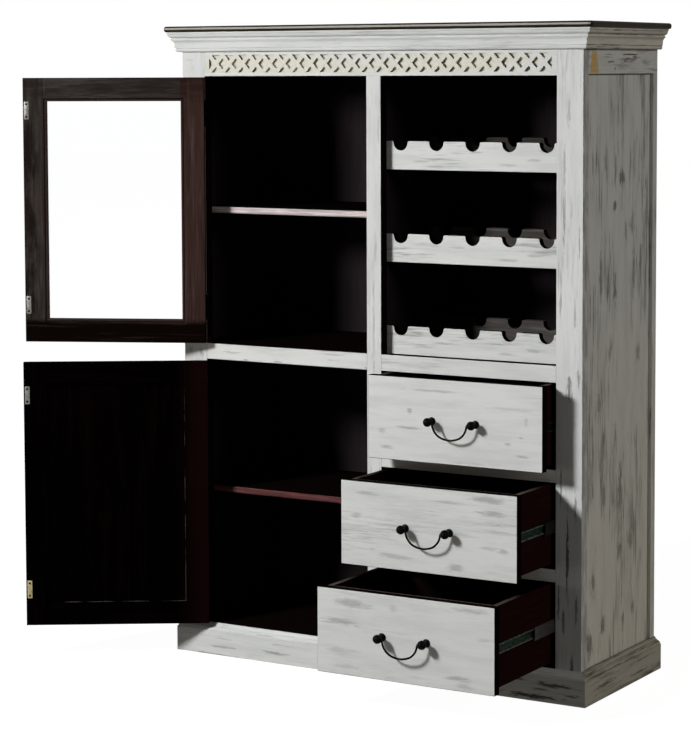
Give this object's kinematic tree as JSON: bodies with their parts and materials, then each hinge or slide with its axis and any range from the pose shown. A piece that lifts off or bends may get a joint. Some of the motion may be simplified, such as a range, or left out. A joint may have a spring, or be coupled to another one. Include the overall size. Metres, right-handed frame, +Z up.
{
  "type": "wine cabinet",
  "caption": "Painted wine cabinet with a glazed door over a panelled door, shelves, notched bottle rails, drawers on side slides, a carved lattice frieze, a cornice and a moulded plinth.",
  "frame": {"origin": "on the floor under the middle of the carcass, halfway between its front frame and its back edge", "axes": "+Z up, -Y towards the front with the doors and drawers, +X to the right as seen from the front"},
  "size_m": [1.5049, 0.7602, 1.6],
  "materials": {
    "white_paint": "worn white paint with grey rubbed streaks along the grain",
    "ivory_paint": "ivory paint over carving",
    "shelf_paint": "dark stain, rubbed on the front edge",
    "dark_wood": "dark brown stained wood",
    "top_wood": "dark brown wax",
    "black_iron": "matte black",
    "zinc_steel": "zinc plated",
    "glass": "clear"
  },
  "bodies": {
    "cabinet": {"top_board": "top_wood", "cornice": "white_paint", "frieze_rail": "ivory_paint", "stile_left": "white_paint", "stile_center": "white_paint", "stile_right": "white_paint", "mid_rail_left": "white_paint", "mid_rail_right": "white_paint", "drawer_rail_lower": "white_paint", "drawer_rail_upper": "white_paint", "side_left": "white_paint", "side_right": "white_paint", "back_panel": "dark_wood", "partition": "dark_wood", "bottom_board": "dark_wood", "shelf_upper": "shelf_paint", "shelf_lower": "shelf_paint", "rack_front_rail_1": "white_paint", "rack_front_rail_2": "white_paint", "rack_front_rail_3": "white_paint", "rack_rear_rail_1": "dark_wood", "rack_rear_rail_2": "dark_wood", "rack_rear_rail_3": "dark_wood", "plinth": "white_paint", "upper_hinge_1": "black_iron", "upper_hinge_2": "black_iron", "lower_hinge_1": "black_iron", "lower_hinge_2": "black_iron", "slide_cabinet_left_1": "zinc_steel", "slide_cabinet_right_1": "zinc_steel", "slide_cabinet_left_2": "zinc_steel", "slide_cabinet_right_2": "zinc_steel", "slide_cabinet_left_3": "zinc_steel", "slide_cabinet_right_3": "zinc_steel"},
    "upper_door": {"upper_door_frame": "dark_wood", "upper_door_glass": "glass", "upper_door_knob": "black_iron"},
    "lower_door": {"lower_door": "dark_wood", "lower_door_knob": "black_iron"},
    "drawer_1": {"drawer_1_front": "white_paint", "drawer_1_box": "dark_wood", "pull_1_post_left": "black_iron", "pull_1_post_right": "black_iron"},
    "drawer_2": {"drawer_2_front": "white_paint", "drawer_2_box": "dark_wood", "pull_2_post_left": "black_iron", "pull_2_post_right": "black_iron"},
    "drawer_3": {"drawer_3_front": "white_paint", "drawer_3_box": "dark_wood", "pull_3_post_left": "black_iron", "pull_3_post_right": "black_iron"},
    "slide_mid_1": {"slide_mid_left_1": "zinc_steel", "slide_mid_right_1": "zinc_steel"},
    "slide_mid_2": {"slide_mid_left_2": "zinc_steel", "slide_mid_right_2": "zinc_steel"},
    "slide_mid_3": {"slide_mid_left_3": "zinc_steel", "slide_mid_right_3": "zinc_steel"},
    "bail_1": {"pull_1_bail": "black_iron"},
    "bail_2": {"pull_2_bail": "black_iron"},
    "bail_3": {"pull_3_bail": "black_iron"}
  },
  "joints": [
    {"name": "upper_door_hinge", "type": "hinge", "parent": "cabinet", "child": "upper_door", "pos_m": [-0.488, -0.21525, 1.1365], "axis": [0, 0, 1], "range_deg": [-19.5, 155.5]},
    {"name": "lower_door_hinge", "type": "hinge", "parent": "cabinet", "child": "lower_door", "pos_m": [-0.488, -0.21525, 0.4185], "axis": [0, 0, 1], "range_deg": [-28, 147]},
    {"name": "drawer_1_travel", "type": "slide", "parent": "cabinet", "child": "drawer_1", "axis": [0, -1, 0], "range_m": [-0.0665, 0.2735]},
    {"name": "drawer_2_travel", "type": "slide", "parent": "cabinet", "child": "drawer_2", "axis": [0, -1, 0], "range_m": [-0.1955, 0.1445]},
    {"name": "drawer_3_travel", "type": "slide", "parent": "cabinet", "child": "drawer_3", "axis": [0, -1, 0], "range_m": [-0.3055, 0.0345]},
    {"name": "slide_mid_1_travel", "type": "slide", "parent": "cabinet", "child": "slide_mid_1", "axis": [0, -1, 0], "range_m": [-0.03325, 0.13675]},
    {"name": "slide_mid_2_travel", "type": "slide", "parent": "cabinet", "child": "slide_mid_2", "axis": [0, -1, 0], "range_m": [-0.09775, 0.07225]},
    {"name": "slide_mid_3_travel", "type": "slide", "parent": "cabinet", "child": "slide_mid_3", "axis": [0, -1, 0], "range_m": [-0.15275, 0.01725]},
    {"name": "bail_1_swing", "type": "hinge", "parent": "drawer_1", "child": "bail_1", "pos_m": [0.256, -0.29975, 0.655], "axis": [-1, 0, 0], "range_deg": [-28, 148]},
    {"name": "bail_2_swing", "type": "hinge", "parent": "drawer_2", "child": "bail_2", "pos_m": [0.256, -0.42875, 0.4185], "axis": [-1, 0, 0], "range_deg": [-28, 148]},
    {"name": "bail_3_swing", "type": "hinge", "parent": "drawer_3", "child": "bail_3", "pos_m": [0.256, -0.53875, 0.182], "axis": [-1, 0, 0], "range_deg": [-28, 148]}
  ],
  "couplings": [
    {"joint": "slide_mid_1_travel", "follows": "drawer_1_travel", "ratio": 0.5},
    {"joint": "slide_mid_2_travel", "follows": "drawer_2_travel", "ratio": 0.5},
    {"joint": "slide_mid_3_travel", "follows": "drawer_3_travel", "ratio": 0.5}
  ]
}
